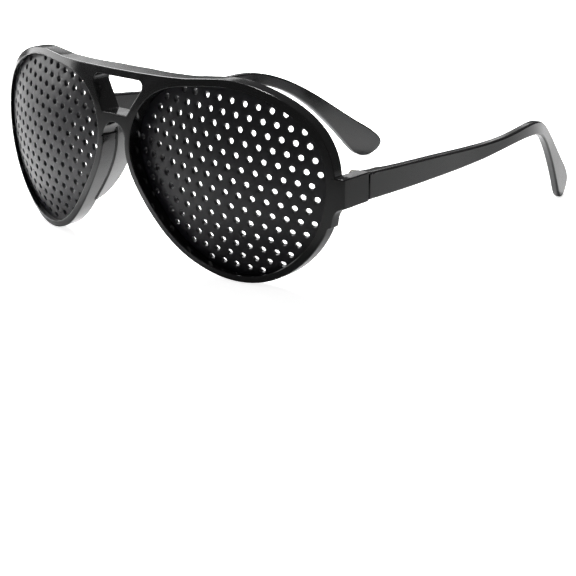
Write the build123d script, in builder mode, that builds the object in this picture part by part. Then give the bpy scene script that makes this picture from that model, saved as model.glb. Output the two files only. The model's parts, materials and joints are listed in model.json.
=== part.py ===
from build123d import *
import os
from math import atan, cos, degrees, radians, sin, sqrt

os.makedirs("parts", exist_ok=True)

# Pinhole glasses: a moulded front with two perforated lenses and two folding temples.
# All lengths are in mm. The front faces -Y, the temples run towards +Y, and X is the wearer's left.
# Heights are measured from the hinge line until every piece is turned and set down at the end.

# Lenses
lens_spacing = 71.0
lens_radius = 82.0
lens_wrap = 12.5
lens_thickness = 1.2

# Rims, seen from the front
aperture_width = 53.6
aperture_height = 47.2
aperture_nose_gap = 12.0
aperture_drop = 0.2
aperture_shares = [
    (-0.07, 1.00), (0.50, 0.885), (0.91, 0.51), (1.00, -0.03), (0.82, -0.60), (0.27, -1.00),
    (-0.31, -0.84), (-0.76, -0.33), (-1.00, 0.33), (-0.78, 0.80),
]
rim_width = 1.9
lens_recess = 3.2
front_flat = 27.0
rear_lip = 0.6
groove_depth = 0.9
groove_clearance = 0.1

# Brow bar and lower bridge
brow_height = 1.9
brow_top = 24.1
brow_rise = 0.5
brow_reach = 23.0
bridge_top = 13.1
bridge_height = 2.3
opening_top_width = 20.8
opening_bottom_width = 8.8
opening_corner = 1.6
arch_width = 8.6
arch_side = 6.9

# End pieces, which carry the hinges
frame_width = 127.0
end_height = 7.4
end_thickness = 3.6
end_length = 9.6
end_flare_top = 8.5
end_flare_bottom = 5.0
flare_top_lean_share = 0.5
flare_bottom_lean_share = 0.2

# Nose pads, moulded with the rims
pad_thickness = 1.3
pad_step = 0.4
pad_depth = 7.5
pad_top = 8.9
pad_bottom = 13.7
pad_splay = 14.0
pad_profile_shares = [(0.55, 0.80), (0.95, 0.28), (1.0, -0.35), (0.72, -0.80)]

# Temples
joint_gap = 0.3
temple_reach = 138.0
temple_drop = 36.3
temple_inward = 23.5
root_height = 7.0
temple_thickness = 2.6
temple_round = 0.6
side_shares = [
    (0.233, 0.019), (0.510, -0.036), (0.640, -0.033), (0.784, -0.262), (0.930, -0.645), (0.983, -0.790),
    (1.000, -0.890), (0.985, -0.970), (0.940, -1.000), (0.893, -0.850), (0.813, -0.518), (0.683, -0.187),
    (0.581, -0.124), (0.422, -0.152), (0.219, -0.143),
]
tip_rest_share = 0.955
plan_shares = [
    (0.0, 0.0), (0.161, 0.072), (0.385, 0.170), (0.635, 0.280), (0.762, 0.530), (0.896, 0.787), (1.05, 1.090),
]

# Hinges
knuckle_radius = 1.2
leaf_height = 5.2
leaf_thickness = 0.8
front_leaf_length = 3.4
temple_leaf_length = 7.0
leaf_clearance = 0.3
knuckle_gap = 0.1
screw_radius = 0.6
screw_clearance = 0.05
screw_head_radius = 1.0
screw_head_height = 0.5
screw_slot_width = 0.3

# Pinholes
hole_diameter = 1.6
hole_pitch = 3.8
hole_edge = 0.5
hole_starts = {"left": (-0.5, 10.9), "right": (-5.5, 6.3)}
hole_turns = {"left": -7.0, "right": 9.5}

# One overrun serves all cuts, and a widened outline is drawn through this many places
overrun = 12.0
outline_places = 24
right_angle = 90.0

# Places worked out from the sizes above
lens_x = lens_spacing / 2
curve_x = lens_x - lens_radius * sin(radians(lens_wrap))
curve_y = lens_radius * cos(radians(lens_wrap))
rim_depth = lens_recess + lens_thickness + rear_lip
rim_front_radius = lens_radius + lens_recess
rim_curve_x = front_flat / 2
lens_rear_radius = lens_radius - lens_thickness
rim_rear_radius = lens_rear_radius - rear_lip
lens_edge = groove_depth - groove_clearance
front_y = curve_y - rim_front_radius
aperture_x = aperture_nose_gap / 2 + aperture_width / 2
rim_outer_x = aperture_x + aperture_width / 2 + rim_width
end_x = frame_width / 2
end_inner_x = end_x - end_thickness
end_front_y = curve_y - sqrt(rim_front_radius**2 - (end_x - rim_curve_x) ** 2)
end_rear_y = end_front_y + end_length
temple_y = end_rear_y + joint_gap
hinge_x = end_inner_x - knuckle_radius - leaf_clearance
hinge_y = end_rear_y + joint_gap / 2
nose_x = aperture_nose_gap / 2
bridge_rear_radius = sqrt(rim_rear_radius**2 - (curve_x - nose_x) ** 2)
arm_y = end_front_y + rim_depth / 2

# The glasses stand on the rims and the temple tips, so the front leans forward by this angle
rim_bottom = aperture_height / 2 + aperture_drop + rim_width
rim_bottom_y = curve_y - sqrt(rim_front_radius**2 - (aperture_x - rim_curve_x) ** 2 - rim_bottom**2)
tip_bottom_y = temple_y + tip_rest_share * temple_reach
lean = degrees(atan((temple_drop - rim_bottom) / (tip_bottom_y - rim_bottom_y)))


def aperture_face(grow=0.0):
    """The see-through outline of the right-hand rim, widened all round by grow."""
    points = [
        (aperture_x + x * aperture_width / 2, z * aperture_height / 2 - aperture_drop)
        for x, z in aperture_shares
    ]
    with BuildSketch() as outline:
        with BuildLine():
            edge = Spline(*points, periodic=True, mode=Mode.PRIVATE)
            places = [n / outline_places for n in range(outline_places)]
            outward = [edge.tangent_at(place).rotate(Axis.Z, right_angle) for place in places]
            Spline(*[edge @ place + grow * way for place, way in zip(places, outward)], periodic=True)
        make_face()
    return outline.sketch


def drawn_out(face, rear_y, front_y):
    """A face drawn in x and z, drawn out along Y from rear_y forward to front_y."""
    with BuildPart() as prism:
        with BuildSketch(Plane.XZ.offset(-rear_y)):
            add(face)
        extrude(amount=rear_y - front_y)
    return prism.part


def end_piece_face():
    """The right-hand end piece from the front, flared above and below into the rim."""
    half = end_height / 2
    top_start = (rim_outer_x - end_flare_top * flare_top_lean_share, half + end_flare_top)
    bottom_start = (rim_outer_x - end_flare_bottom * flare_bottom_lean_share, -half - end_flare_bottom)
    with BuildSketch() as outline:
        with BuildLine():
            Spline(top_start, (end_x, half), tangents=[(flare_top_lean_share, -1), (1, 0)])
            Line((end_x, half), (end_x, -half))
            Spline((end_x, -half), bottom_start, tangents=[(-1, 0), (-flare_bottom_lean_share, -1)])
            Polyline(bottom_start, (aperture_x, bottom_start[1]), (aperture_x, top_start[1]), top_start)
        make_face()
    return outline.sketch


def opening_face():
    """The gap between the brow bar and the lower bridge, wider at the top, with rounded corners."""
    top = brow_top - brow_height
    with BuildSketch() as outline:
        with BuildLine():
            Polyline(
                (-opening_top_width / 2, top),
                (opening_top_width / 2, top),
                (opening_bottom_width / 2, bridge_top),
                (-opening_bottom_width / 2, bridge_top),
                close=True,
            )
        make_face()
        upper = outline.vertices().sort_by(Axis.Y)[2:]
        fillet(upper, radius=opening_corner)
    return outline.sketch


def front_face():
    """The front's outline with both rims, the brow bar, the lower bridge and the end pieces."""
    brow_side = brow_top + brow_rise
    with BuildSketch() as outline:
        add(aperture_face(rim_width))
        add(end_piece_face())
        mirror(about=Plane.YZ)
        with BuildLine():
            ThreePointArc((-brow_reach, brow_side), (0, brow_top), (brow_reach, brow_side))
            Polyline(
                (brow_reach, brow_side),
                (brow_reach, arch_side),
                (-brow_reach, arch_side),
                (-brow_reach, brow_side),
            )
        make_face()
        add(opening_face(), mode=Mode.SUBTRACT)
        with BuildLine():
            foot = arch_width / 2
            ThreePointArc((-foot, arch_side), (0, bridge_top - bridge_height), (foot, arch_side))
            Line((foot, arch_side), (-foot, arch_side))
        make_face(mode=Mode.SUBTRACT)
    return outline.sketch


def pad():
    """The right-hand nose pad: a thin rounded wing behind the nose side of the rim, splayed outwards."""
    outer = rim_width + pad_step
    middle = (pad_top - pad_bottom) / 2
    half = (pad_top + pad_bottom) / 2
    with BuildPart() as wing:
        with BuildSketch(Plane.XZ):
            add(aperture_face(outer))
            add(aperture_face(outer - pad_thickness), mode=Mode.SUBTRACT)
            Rectangle(2 * lens_x, 2 * frame_width, mode=Mode.INTERSECT)
        extrude(amount=pad_depth + overrun, dir=(sin(radians(pad_splay)), cos(radians(pad_splay)), 0))
        with BuildSketch(Plane.YZ):
            with BuildLine():
                profile = [(pad_depth * y, middle + half * z) for y, z in pad_profile_shares]
                Spline((0, pad_top), *profile, (0, -pad_bottom))
                Line((0, -pad_bottom), (0, pad_top))
            make_face()
        extrude(amount=frame_width, both=True, mode=Mode.INTERSECT)
    return wing.part


def lens_blank(grow):
    """A spherical disc as thick as the lens, wider than the see-through outline by grow all round."""
    with BuildPart() as blank:
        add(drawn_out(aperture_face(grow), end_rear_y + overrun, front_y))
        with Locations((curve_x, curve_y, 0)):
            Sphere(lens_radius, mode=Mode.INTERSECT)
            Sphere(lens_rear_radius, mode=Mode.SUBTRACT)
    return blank.part


def between(face, low, high):
    """The part of a face that lies between two places across the front."""
    with BuildSketch() as outline:
        add(face)
        with Locations(((low + high) / 2, 0)):
            Rectangle(high - low, 2 * frame_width, mode=Mode.INTERSECT)
    return outline.sketch


def front_side(shape):
    """The right-hand half of the front outside the nose: curved in front and behind like its lens."""
    with BuildPart() as bridge_side:
        add(drawn_out(between(shape, nose_x, rim_curve_x), end_rear_y + overrun, front_y - overrun))
        with Locations((0, curve_y, 0)):
            Cylinder(rim_front_radius, frame_width, rotation=(0, right_angle, 0), mode=Mode.INTERSECT)
    with BuildPart() as half:
        add(drawn_out(between(shape, rim_curve_x, end_x), end_rear_y + overrun, front_y - overrun))
        with Locations((rim_curve_x, curve_y, 0)):
            Sphere(rim_front_radius, mode=Mode.INTERSECT)
        add(bridge_side)
        with Locations((curve_x, curve_y, 0)):
            Sphere(rim_rear_radius, mode=Mode.SUBTRACT)
        with Locations((end_x - end_thickness / 2, (arm_y + end_rear_y) / 2, 0)):
            Box(end_thickness, end_rear_y - arm_y, end_height)
        add(drawn_out(aperture_face(), end_rear_y + overrun, front_y - overrun), mode=Mode.SUBTRACT)
        add(pad())
    return half.part


def nose_bridge(shape):
    """The middle of the front: the brow bar and the lower bridge, of even depth."""
    with BuildPart() as middle:
        add(drawn_out(between(shape, -nose_x, nose_x), end_rear_y + overrun, front_y - overrun))
        with Locations((0, curve_y, 0)):
            Cylinder(rim_front_radius, frame_width, rotation=(0, right_angle, 0), mode=Mode.INTERSECT)
            Cylinder(bridge_rear_radius, frame_width, rotation=(0, right_angle, 0), mode=Mode.SUBTRACT)
    return middle.part


front_shape = front_face()
with BuildPart() as front_frame:
    add(nose_bridge(front_shape))
    side = front_side(front_shape)
    add(side)
    add(mirror(side, about=Plane.YZ, mode=Mode.PRIVATE))
    groove = lens_blank(groove_depth)
    add(groove, mode=Mode.SUBTRACT)
    add(mirror(groove, about=Plane.YZ, mode=Mode.PRIVATE), mode=Mode.SUBTRACT)


def lens_normal(across, up):
    """The direction from the centre of curvature to a place on the right-hand lens."""
    turn = radians(lens_wrap)
    return Vector(
        lens_radius * sin(turn) + across * cos(turn), -lens_radius * cos(turn) + across * sin(turn), up
    ).normalized()


def hole_places(start, turn):
    """Where the pinholes stand on the right-hand lens: a triangular lattice, clear of the lens edge."""
    inside = aperture_face(lens_edge - hole_edge - hole_diameter / 2)
    row_pitch = hole_pitch * sqrt(3) / 2
    rows = int(aperture_height / row_pitch)
    columns = int(aperture_width / hole_pitch)
    places = []
    for row in range(-rows, rows + 1):
        for column in range(-columns, columns + 1):
            along = (column + row / 2 - row // 2) * hole_pitch + start[0]
            rise = row * row_pitch + start[1]
            across = along * cos(radians(turn)) - rise * sin(radians(turn))
            up = along * sin(radians(turn)) + rise * cos(radians(turn))
            normal = lens_normal(across, up)
            point = Vector(curve_x, curve_y, 0) + normal * lens_radius
            if inside.is_inside(Vector(point.X, point.Z, 0)):
                places.append(Plane(origin=point, z_dir=normal))
    return places


def lens(start, turn):
    """The right-hand lens: a spherical disc pierced along its own normals."""
    with BuildPart() as disc:
        add(lens_blank(lens_edge))
        with Locations(*hole_places(start, turn)):
            Cylinder(hole_diameter / 2, 4 * lens_thickness, mode=Mode.SUBTRACT)
    return disc.part


def temple():
    """The right-hand temple: its side outline and its plan, crossed, with soft edges."""
    half = root_height / 2
    rounded = [(temple_y + y * temple_reach, z * temple_drop) for y, z in side_shares]
    outer = [(end_x - x * temple_inward, temple_y + y * temple_reach) for y, x in plan_shares]
    inner = [(x - temple_thickness, y) for x, y in outer[1:]]
    tip_way = (inner[-1][0] - inner[-2][0], inner[-1][1] - inner[-2][1])
    root_end = (end_inner_x, hinge_y + knuckle_radius + 2 * leaf_clearance + temple_leaf_length)
    with BuildPart() as arm:
        with BuildSketch(Plane.YZ):
            with BuildLine():
                Spline((temple_y, half), *rounded, (temple_y, -half))
                Line((temple_y, -half), (temple_y, half))
            make_face()
        extrude(amount=frame_width)
        with BuildSketch(Plane.XY):
            with BuildLine():
                Spline(*outer)
                Line(outer[-1], inner[-1])
                Spline(root_end, *inner, tangents=[(0, 1), tip_way])
                Polyline(root_end, (end_inner_x, temple_y), outer[0])
            make_face()
        extrude(amount=frame_width, both=True, mode=Mode.INTERSECT)
        long_edges = arm.edges().filter_by(lambda edge: edge.length > temple_reach / 2)
        fillet(long_edges, radius=temple_round)
    return arm.part


def hinge_leaf(direction, length, knuckles):
    """A hinge leaf of the right-hand side: its plate, and a tab and a barrel at each knuckle height."""
    near = knuckle_radius + leaf_clearance
    with BuildPart() as leaf:
        with Locations((end_inner_x - leaf_thickness / 2, hinge_y + direction * (near + length / 2), 0)):
            Box(leaf_thickness, length, leaf_height)
        for bottom, top in knuckles:
            tab_x = hinge_x + knuckle_radius - leaf_thickness / 2
            with Locations((tab_x, hinge_y + direction * near / 2, (bottom + top) / 2)):
                Box(leaf_thickness, near, top - bottom)
            with Locations((hinge_x, hinge_y, (bottom + top) / 2)):
                Cylinder(knuckle_radius, top - bottom)
                Cylinder(screw_radius + screw_clearance, top - bottom, mode=Mode.SUBTRACT)
    return leaf.part


def hinge_screw():
    """The right-hand hinge screw: its shank through the knuckles, and a slotted head on top."""
    with BuildPart() as screw:
        with BuildSketch(Plane.XY.offset(-leaf_height / 2)):
            with Locations((hinge_x, hinge_y)):
                Circle(screw_radius)
        extrude(amount=leaf_height)
        with BuildSketch(Plane.XY.offset(leaf_height / 2)):
            with Locations((hinge_x, hinge_y)):
                Circle(screw_head_radius)
                Rectangle(2 * screw_head_radius, screw_slot_width, mode=Mode.SUBTRACT)
        extrude(amount=screw_head_height)
    return screw.part


third = leaf_height / 3
middle_knuckle = [(-third / 2, third / 2)]
outer_knuckles = [(-leaf_height / 2, -third / 2 - knuckle_gap), (third / 2 + knuckle_gap, leaf_height / 2)]
right_side = {
    "temple": temple(),
    "front_hinge_leaf": hinge_leaf(-1, front_leaf_length, outer_knuckles),
    "temple_hinge_leaf": hinge_leaf(1, temple_leaf_length, middle_knuckle),
    "hinge_screw": hinge_screw(),
}
pieces = {"front_frame": front_frame.part, "left_lens": lens(hole_starts["left"], hole_turns["left"])}
pieces["right_lens"] = mirror(lens(hole_starts["right"], hole_turns["right"]), about=Plane.YZ)
for name, piece in right_side.items():
    pieces["left_" + name] = piece
    pieces["right_" + name] = mirror(piece, about=Plane.YZ)

# The glasses stand on the rims and the temple tips, over the middle of their outline on the ground
turned = {name: piece.rotate(Axis.X, lean) for name, piece in pieces.items()}
bounds = Compound(children=[Part() + piece for piece in turned.values()]).bounding_box()
for name, piece in turned.items():
    piece = piece.moved(Location((0, -bounds.center().Y, -bounds.min.Z)))
    piece.label = name
    export_step(piece, "parts/" + name + ".step")
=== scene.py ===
"""The looks of a pair of pinhole glasses: their finishes, their pierced lenses and a plain studio round them."""

import json
import logging
import math
from collections.abc import Callable
from dataclasses import dataclass, field
from enum import Enum

import bmesh
import bpy
from mathutils import Matrix, Vector
from mathutils.bvhtree import BVHTree


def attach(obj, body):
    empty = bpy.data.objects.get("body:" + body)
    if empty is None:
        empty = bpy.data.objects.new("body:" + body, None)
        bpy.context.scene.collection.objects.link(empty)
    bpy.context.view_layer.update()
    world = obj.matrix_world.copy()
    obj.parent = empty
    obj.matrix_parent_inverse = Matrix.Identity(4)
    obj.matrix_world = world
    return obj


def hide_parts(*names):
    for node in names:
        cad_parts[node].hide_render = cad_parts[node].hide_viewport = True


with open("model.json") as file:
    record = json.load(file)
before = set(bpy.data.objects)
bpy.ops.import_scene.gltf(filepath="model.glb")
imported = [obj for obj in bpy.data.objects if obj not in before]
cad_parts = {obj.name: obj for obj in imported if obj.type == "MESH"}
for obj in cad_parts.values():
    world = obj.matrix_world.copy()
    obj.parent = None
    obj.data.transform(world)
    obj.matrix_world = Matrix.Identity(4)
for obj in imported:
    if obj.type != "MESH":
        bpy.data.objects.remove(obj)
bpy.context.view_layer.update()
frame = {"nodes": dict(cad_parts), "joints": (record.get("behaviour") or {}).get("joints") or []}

log = logging.getLogger("pinhole_glasses")
MM = 0.001
IMAGE_PIXELS = 576

# The mix node names its colour sockets alike, so they are told apart by their numbers.
MIX_SHARE = 0
MIX_FIRST = 6
MIX_SECOND = 7
MIX_RESULT = 2


class Side(Enum):
    """A side of the wearer, with its sign along X."""

    LEFT = 1
    RIGHT = -1

    @property
    def word(self) -> str:
        """The side's name as the nodes use it."""
        return self.name.lower()


def linear(colour: str) -> tuple[float, float, float, float]:
    """Turn an sRGB colour into a linear one.

    Args:
        colour: The colour as a hex string, such as "#1a1a1c".

    Returns:
        Red, green, blue and an alpha of one.
    """
    shares = [int(colour[place:place + 2], 16) / 255 for place in (1, 3, 5)]
    red, green, blue = (c / 12.92 if c <= 0.04045 else ((c + 0.055) / 1.055) ** 2.4 for c in shares)
    return red, green, blue, 1.0


def add_node(tree: bpy.types.NodeTree, kind: str, settings: dict[str | int, object],
             links: dict[str | int, bpy.types.NodeSocket]) -> bpy.types.Node:
    """Add a node to a material or world.

    Args:
        tree: The node tree that takes it.
        kind: The node's type name without its ShaderNode start.
        settings: Attribute names, or input names or numbers, with their values.
        links: Input names or numbers, with the output sockets that feed them.

    Returns:
        The new node.
    """
    node = tree.nodes.new("ShaderNode" + kind)
    for name, value in settings.items():
        if isinstance(name, str) and hasattr(node, name):
            setattr(node, name, value)
        else:
            node.inputs[name].default_value = value
    for name, socket in links.items():
        tree.links.new(socket, node.inputs[name])
    return node


def new_tree(name: str) -> tuple[bpy.types.Material, bpy.types.NodeTree]:
    """Start a material with an empty node tree.

    Args:
        name: The material's name.

    Returns:
        The material and its tree.
    """
    material = bpy.data.materials.new(name)
    material.use_nodes = True
    material.node_tree.nodes.clear()
    return material, material.node_tree


def add_noise(tree: bpy.types.NodeTree, size_mm: float, settings: dict[str | int, object]) -> bpy.types.NodeSocket:
    """Add a noise that keeps its place on the object.

    Args:
        tree: The material's tree.
        size_mm: The size of its patches.
        settings: The other inputs of the noise, with their values.

    Returns:
        The noise's level, about one half on average.
    """
    place = add_node(tree, "TexCoord", {}, {})
    noise = add_node(tree, "TexNoise", {"Scale": 1 / (size_mm * MM)} | settings, {"Vector": place.outputs["Object"]})
    return noise.outputs["Fac"]


def add_surface(tree: bpy.types.NodeTree, colours: tuple[str, str], level: bpy.types.NodeSocket,
                rough: bpy.types.Node, height: bpy.types.NodeSocket, depth_mm: float,
                settings: dict[str | int, object]) -> None:
    """Close a finish: two colours, a roughness and a fine relief on one surface.

    Args:
        tree: The material's tree.
        colours: The colour where the level is nought and where it is one.
        level: What mixes the colours.
        rough: The map range node that gives the roughness.
        height: What raises the relief.
        depth_mm: How deep the relief is.
        settings: The other inputs of the surface, with their values.
    """
    tint = add_node(tree, "Mix", {"data_type": "RGBA", MIX_FIRST: linear(colours[0]), MIX_SECOND: linear(colours[1])},
                    {MIX_SHARE: level})
    bump = add_node(tree, "Bump", {"Strength": 1.0, "Distance": depth_mm * MM}, {"Height": height})
    surface = add_node(tree, "BsdfPrincipled", settings,
                       {"Base Color": tint.outputs[MIX_RESULT], "Roughness": rough.outputs["Result"],
                        "Normal": bump.outputs["Normal"]})
    add_node(tree, "OutputMaterial", {}, {"Surface": surface.outputs["BSDF"]})


@dataclass(frozen=True)
class MouldedGloss:
    """Black gloss polycarbonate, injection moulded in a polished tool.

    The eye sees deep black with sharp reflections, a faint waviness where the plastic shrank, and fine wipe marks.
    """

    name: str = "polycarbonate_gloss_moulded"
    colour: str = "#070708"
    worn_colour: str = "#0e0e10"
    roughness_polished: float = 0.13
    roughness_wiped: float = 0.19
    ior: float = 1.585
    shrink_wave_mm: float = 9.0
    shrink_depth_mm: float = 0.006
    haze_patch_mm: float = 3.5
    haze_low: float = 0.35
    haze_high: float = 0.75

    def material(self) -> bpy.types.Material:
        """Build the finish.

        Returns:
            The finished material.
        """
        material, tree = new_tree(self.name)
        wave = add_noise(tree, self.shrink_wave_mm, {"Detail": 1.0})
        haze = add_noise(tree, self.haze_patch_mm, {"Detail": 5.0, "Roughness": 0.6})
        rough = add_node(tree, "MapRange", {"From Min": self.haze_low, "From Max": self.haze_high,
                                            "To Min": self.roughness_polished, "To Max": self.roughness_wiped},
                         {"Value": haze})
        add_surface(tree, (self.colour, self.worn_colour), haze, rough, wave, self.shrink_depth_mm, {"IOR": self.ior})
        return material


@dataclass(frozen=True)
class PiercedSheet:
    """Black polypropylene sheet, pierced flat and then pressed to a dome.

    The eye sees a satin black that goes grey and slightly mottled where it mirrors something bright.
    """

    name: str = "polypropylene_satin_pierced"
    colour: str = "#151518"
    rubbed_colour: str = "#212126"
    roughness_smooth: float = 0.26
    roughness_rubbed: float = 0.40
    ior: float = 1.49
    grain_mm: float = 0.45
    grain_depth_mm: float = 0.004
    mottle_mm: float = 5.0
    mottle_low: float = 0.3
    mottle_high: float = 0.7

    def material(self) -> bpy.types.Material:
        """Build the finish.

        Returns:
            The finished material.
        """
        material, tree = new_tree(self.name)
        mottle = add_noise(tree, self.mottle_mm, {"Detail": 6.0, "Roughness": 0.65})
        grain = add_noise(tree, self.grain_mm, {"Detail": 2.0})
        rough = add_node(tree, "MapRange", {"From Min": self.mottle_low, "From Max": self.mottle_high,
                                            "To Min": self.roughness_smooth, "To Max": self.roughness_rubbed},
                         {"Value": mottle})
        add_surface(tree, (self.colour, self.rubbed_colour), mottle, rough, grain, self.grain_depth_mm,
                    {"IOR": self.ior})
        return material


@dataclass(frozen=True)
class StampedNickelSilver:
    """Nickel-silver hinge stock, stamped and tumbled.

    The eye sees a warm bright metal with fine scratches in all directions.
    """

    name: str = "nickel_silver_stamped"
    colour: str = "#b9b6ad"
    tarnish_colour: str = "#8f8a7e"
    roughness_low: float = 0.22
    roughness_high: float = 0.38
    scratch_mm: float = 0.3
    scratch_depth_mm: float = 0.003

    def material(self) -> bpy.types.Material:
        """Build the finish.

        Returns:
            The finished material.
        """
        material, tree = new_tree(self.name)
        scratches = add_noise(tree, self.scratch_mm, {"Detail": 4.0, "Distortion": 1.5})
        rough = add_node(tree, "MapRange", {"To Min": self.roughness_low, "To Max": self.roughness_high},
                         {"Value": scratches})
        add_surface(tree, (self.colour, self.tarnish_colour), scratches, rough, scratches, self.scratch_depth_mm,
                    {"Metallic": 1.0})
        return material


def dress(piece: bpy.types.Object, material: bpy.types.Material) -> None:
    """Give a piece its finish.

    Args:
        piece: The piece or the CAD node.
        material: The finish for all of its faces.
    """
    if not piece.data.materials:
        piece.data.materials.append(material)
    for slot in piece.material_slots:
        slot.material = material


@dataclass(frozen=True)
class EasedEdge:
    """The small round that a mould or a press leaves along every sharp edge.

    Attributes:
        width_mm: How far it reaches from the edge.
        segments: How many faces go round it.
        sharp: The least angle between two faces, in degrees, that counts as an edge.
        weld_mm: Corners nearer than this are made one before the edges are eased.
        sliver_mm: Faces narrower than this are taken out.
        flat: Faces that meet at less than this angle, in degrees, are made one, unless it is zero.
        stray_mm: A corner that the easing pushed further than this from the solid goes back onto it.
        weight: How much the large faces lead the gloss next to an eased edge, from 1 to 100.
    """

    width_mm: float
    segments: int
    sharp: float = 35.0
    weld_mm: float = 0.06
    sliver_mm: float = 0.03
    flat: float = 0.5
    stray_mm: float = 0.12
    weight: int = 100

    def copy_of(self, node: bpy.types.Object, name: str,
                shape: Callable[[bpy.types.Object], None] | None = None) -> bpy.types.Object:
        """Copy a CAD node and ease its edges.

        Args:
            node: The node, which stays as it is.
            name: The name of the new piece.
            shape: What changes the copy before its edges are eased.

        Returns:
            The new piece.
        """
        bpy.ops.object.select_all(action="DESELECT")
        piece = bpy.data.objects.new(name, node.data.copy())
        bpy.context.scene.collection.objects.link(piece)
        bpy.context.view_layer.objects.active = piece
        piece.select_set(True)
        piece.data.materials.clear()
        self.clean()
        if shape:
            shape(piece)
        self.ease(piece)
        self.keep_near(piece, node)
        self.shade(piece)
        return piece

    def clean(self) -> None:
        """Merge the corners of the active piece and take out its slivers."""
        bpy.ops.mesh.customdata_custom_splitnormals_clear()
        bpy.ops.object.mode_set(mode="EDIT")
        bpy.ops.mesh.select_all(action="SELECT")
        bpy.ops.mesh.remove_doubles(threshold=self.weld_mm * MM)
        bpy.ops.mesh.dissolve_degenerate(threshold=self.sliver_mm * MM)
        if self.flat:
            bpy.ops.mesh.dissolve_limited(angle_limit=math.radians(self.flat))
        bpy.ops.mesh.normals_make_consistent(inside=False)
        bpy.ops.object.mode_set(mode="OBJECT")

    def ease(self, piece: bpy.types.Object) -> None:
        """Round the sharp edges of a piece.

        Args:
            piece: The active piece.
        """
        edge = piece.modifiers.new("eased_edge", "BEVEL")
        edge.limit_method = "ANGLE"
        edge.angle_limit = math.radians(self.sharp)
        edge.width = self.width_mm * MM
        edge.segments = self.segments
        edge.use_clamp_overlap = False
        bpy.ops.object.modifier_apply(modifier=edge.name)

    def keep_near(self, piece: bpy.types.Object, node: bpy.types.Object) -> None:
        """Put back the few corners that the easing pushed off the solid, where edges of unequal length meet.

        Args:
            piece: The eased piece.
            node: The CAD node that it was copied from.
        """
        surface = BVHTree.FromObject(node, bpy.context.evaluated_depsgraph_get())
        for vertex in piece.data.vertices:
            place, _, _, gap = surface.find_nearest(vertex.co)
            if gap > self.stray_mm * MM:
                vertex.co = place

    def shade(self, piece: bpy.types.Object) -> None:
        """Shade a piece smoothly and keep its large faces flat next to the eased edges.

        Args:
            piece: The active piece.
        """
        bpy.ops.object.shade_smooth_by_angle(angle=math.radians(self.sharp))
        gloss = piece.modifiers.new("even_gloss", "WEIGHTED_NORMAL")
        gloss.weight = self.weight
        gloss.keep_sharp = True
        bpy.ops.object.modifier_apply(modifier=gloss.name)


@dataclass
class Hinges:
    """The four hinge leaves and the two hinge screws."""

    metal: StampedNickelSilver = field(default_factory=StampedNickelSilver)
    pieces: tuple[str, ...] = ("front_hinge_leaf", "temple_hinge_leaf", "hinge_screw")

    def build(self) -> None:
        """Dress every leaf and screw."""
        material = self.metal.material()
        for side in Side:
            for piece in self.pieces:
                node = frame["nodes"][f"{side.word}_{piece}"]
                dress(node, material)
                log.info("dressed %s", node.name)


@dataclass
class Mouldings:
    """The front and the two temples, moulded from one plastic, with their edges eased by the mould."""

    plastic: MouldedGloss = field(default_factory=MouldedGloss)
    edge: EasedEdge = field(default_factory=lambda: EasedEdge(width_mm=0.3, segments=3))
    bodies: dict[str, str] = field(default_factory=lambda: {
        "front_frame": "front", "left_temple": "left_arm", "right_temple": "right_arm"})

    def build(self) -> None:
        """Mould the front and the temples."""
        material = self.plastic.material()
        for name, body in self.bodies.items():
            piece = self.edge.copy_of(frame["nodes"][name], name + "_moulding")
            dress(piece, material)
            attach(piece, body)
            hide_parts(name)
            log.info("moulded %s with %d faces", piece.name, len(piece.data.polygons))


def middle_of(corners: list[bmesh.types.BMVert]) -> Vector:
    """Find the middle of some corners.

    Args:
        corners: At least one corner of a mesh.

    Returns:
        The mean of their places.
    """
    return sum((corner.co for corner in corners), Vector()) / len(corners)


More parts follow.
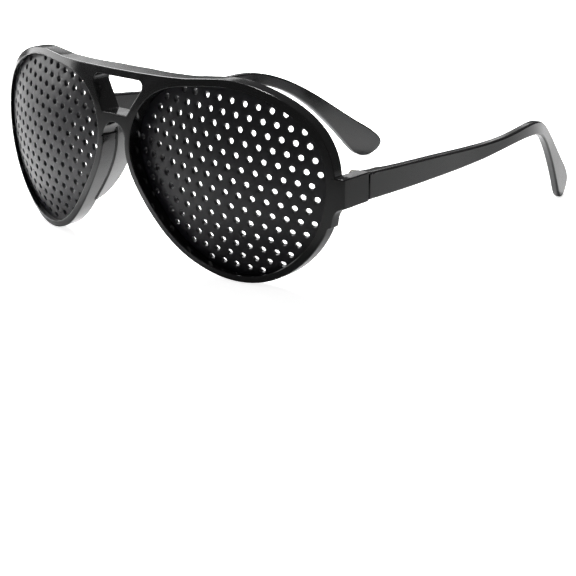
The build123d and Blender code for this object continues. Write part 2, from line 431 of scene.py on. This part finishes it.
@dataclass
class Lenses:
    """The two pierced lenses. The punch leaves each pinhole a little narrower behind and eased in front.

    Attributes:
        sheet: The finish.
        edge: The eased edges.
        rear_share: The width of a pinhole behind, as a share of its width in front.
        hole_reach_mm: No pinhole is wider than this, so a wider wall is the lens's own edge.
        wall_share: A face is part of a wall where the cosine of its turn from the lens's front is below this.
    """

    sheet: PiercedSheet = field(default_factory=PiercedSheet)
    edge: EasedEdge = field(default_factory=lambda: EasedEdge(
        width_mm=0.17, segments=2, weld_mm=0.004, sliver_mm=0.001, flat=0.0, stray_mm=0.2))
    rear_share: float = 0.88
    hole_reach_mm: float = 3.0
    wall_share: float = 0.6

    def pinholes(self, shell: bmesh.types.BMesh, forward: Vector) -> list[list[bmesh.types.BMVert]]:
        """Find the pinholes of a lens.

        Args:
            shell: The lens's mesh.
            forward: The way the lens faces.

        Returns:
            The corners of each pinhole's wall.
        """
        walls = {face for face in shell.faces if abs(face.normal.dot(forward)) < self.wall_share}
        holes = []
        while walls:
            group, waiting = set(), [walls.pop()]
            while waiting:
                face = waiting.pop()
                group.add(face)
                near = {other for edge in face.edges for other in edge.link_faces} & walls
                walls -= near
                waiting.extend(near)
            corners = list({corner for face in group for corner in face.verts})
            middle = middle_of(corners)
            if max((corner.co - middle).length for corner in corners) <= self.hole_reach_mm * MM:
                holes.append(corners)
        return holes

    def narrow_behind(self, piece: bpy.types.Object) -> None:
        """Draw in the rear edge of every pinhole.

        Args:
            piece: The lens, before its edges are eased.
        """
        shell = bmesh.new()
        shell.from_mesh(piece.data)
        fronts = [face for face in shell.faces if face.normal.y < -self.wall_share]
        forward = sum((face.normal * face.calc_area() for face in fronts), Vector()).normalized()
        for corners in self.pinholes(shell, forward):
            middle = middle_of(corners)
            behind = [corner for corner in corners if (corner.co - middle).dot(forward) < 0]
            centre = middle_of(behind)
            for corner in behind:
                corner.co = centre + (corner.co - centre) * self.rear_share
        shell.to_mesh(piece.data)
        shell.free()

    def build(self) -> None:
        """Press and dress both lenses."""
        material = self.sheet.material()
        for side in Side:
            name = f"{side.word}_lens"
            piece = self.edge.copy_of(frame["nodes"][name], name + "_sheet", self.narrow_behind)
            dress(piece, material)
            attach(piece, "front")
            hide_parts(name)
            log.info("pressed %s with %d faces", piece.name, len(piece.data.polygons))


@dataclass(frozen=True)
class SoftBox:
    """A lamp with a wide face.

    Attributes:
        name: What it is called.
        place: Where it stands, in metres.
        aim: What it points at, in metres.
        width: Its width in metres.
        height: Its height in metres.
        watts: Its power.
        spread: How wide its light opens, in degrees.
    """

    name: str
    place: tuple[float, float, float]
    aim: tuple[float, float, float]
    width: float
    height: float
    watts: float
    spread: float = 180.0

    def build(self) -> None:
        """Add the lamp."""
        data = bpy.data.lights.new(self.name, "AREA")
        data.shape = "RECTANGLE"
        data.size = self.width
        data.size_y = self.height
        data.energy = self.watts
        data.spread = math.radians(self.spread)
        lamp = bpy.data.objects.new(self.name, data)
        bpy.context.scene.collection.objects.link(lamp)
        away = Vector(self.place) - Vector(self.aim)
        lamp.matrix_world = Matrix.Translation(self.place) @ away.to_track_quat("Z", "Y").to_matrix().to_4x4()


@dataclass
class Studio:
    """A pale floor, soft lamps and the camera.

    The camera is given from the upright front: its places count from the middle between the two hinge pins, with
    the hinge pins upright, and turn with them.
    """

    camera_from_hinges_mm: tuple[float, float, float] = (255.03, -248.25, 91.11)
    camera_azimuth: float = 41.30
    camera_elevation: float = 20.54
    camera_roll: float = -0.35
    focal_pixels: float = 1338.8
    sensor_mm: float = 36.0
    floor_size: float = 3.0
    floor_colour: str = "#e6e6e6"
    floor_glow: float = 0.86
    world_colour: str = "#ffffff"
    world_strength: float = 0.14
    lamps: tuple[SoftBox, ...] = (
        SoftBox("top_from_behind", (0.22, 0.42, 0.36), (0.22, 0.40, 0.0), 0.9, 0.30, 1.30, 90.0),
        SoftBox("side_from_right_of_wearer", (-0.48, 0.10, 0.34), (-0.32, 0.10, 0.0), 0.35, 0.5, 2.4, 80.0),
        SoftBox("strip_far_behind", (-0.75, 0.85, 0.42), (0.0, 0.0, 0.03), 0.7, 0.12, 0.36),
        SoftBox("card_from_left", (-0.80, -0.30, 0.26), (0.0, -0.05, 0.03), 0.55, 0.5, 2.8),
        SoftBox("behind_the_lenses", (-0.06, 0.06, 0.40), (-0.05, -0.02, 0.0), 0.12, 0.12, 0.18, 40.0),
    )

    def camera(self) -> None:
        """Add the camera, at the photograph's place and turn."""
        hinge = frame["joints"][0]
        lean = math.atan2(-hinge["axis"][1], hinge["axis"][2])
        tilt = Matrix.Rotation(lean, 4, "X")
        middle = Vector((0.0, hinge["pos_m"][1], hinge["pos_m"][2]))
        azimuth = math.radians(self.camera_azimuth)
        elevation = math.radians(self.camera_elevation)
        back = Vector((math.sin(azimuth) * math.cos(elevation), -math.cos(azimuth) * math.cos(elevation),
                       math.sin(elevation)))
        level = back.to_track_quat("Z", "Y").to_matrix().to_4x4()
        turned = level @ Matrix.Rotation(math.radians(self.camera_roll), 4, "Z")
        data = bpy.data.cameras.new("camera")
        data.sensor_width = self.sensor_mm
        data.lens = self.focal_pixels * self.sensor_mm / IMAGE_PIXELS
        camera = bpy.data.objects.new("camera", data)
        bpy.context.scene.collection.objects.link(camera)
        place = Matrix.Translation(middle) @ tilt @ Matrix.Translation(Vector(self.camera_from_hinges_mm) * MM)
        camera.matrix_world = place @ turned
        bpy.context.scene.camera = camera

    def floor(self) -> None:
        """Add the floor, which looks white to the camera and keeps its shadow."""
        bpy.ops.object.select_all(action="DESELECT")
        bpy.ops.mesh.primitive_plane_add(size=self.floor_size)
        floor = bpy.context.object
        floor.name = "floor"
        material, tree = new_tree("floor_paper_matt")
        seen = add_node(tree, "LightPath", {}, {})
        paper = add_node(tree, "BsdfDiffuse", {"Color": linear(self.floor_colour)}, {})
        share = add_node(tree, "Math", {"operation": "MULTIPLY", 1: self.floor_glow},
                         {0: seen.outputs["Is Camera Ray"]})
        glow = add_node(tree, "Emission", {}, {"Strength": share.outputs[0]})
        both = add_node(tree, "AddShader", {}, {0: paper.outputs[0], 1: glow.outputs[0]})
        add_node(tree, "OutputMaterial", {}, {"Surface": both.outputs[0]})
        floor.data.materials.append(material)

    def world(self) -> None:
        """Make the surroundings: white where the camera sees them, a low plain level for light and reflections."""
        world = bpy.data.worlds.new("studio")
        world.use_nodes = True
        tree = world.node_tree
        tree.nodes.clear()
        seen = add_node(tree, "LightPath", {}, {})
        strength = add_node(tree, "MapRange", {"To Min": self.world_strength, "To Max": 1.0},
                            {"Value": seen.outputs["Is Camera Ray"]})
        sky = add_node(tree, "Background", {"Color": linear(self.world_colour)},
                       {"Strength": strength.outputs["Result"]})
        add_node(tree, "OutputWorld", {}, {"Surface": sky.outputs[0]})
        bpy.context.scene.world = world

    def build(self) -> None:
        """Build the whole studio."""
        self.camera()
        self.floor()
        self.world()
        for lamp in self.lamps:
            lamp.build()
        bpy.context.scene.view_settings.view_transform = "Standard"
        log.info("built the studio")


def main() -> None:
    """Build the studio and dress the glasses."""
    logging.basicConfig(level=logging.INFO, format="%(name)s: %(message)s")
    Studio().build()
    Mouldings().build()
    Lenses().build()
    Hinges().build()


if __name__ == "__main__":
    main()
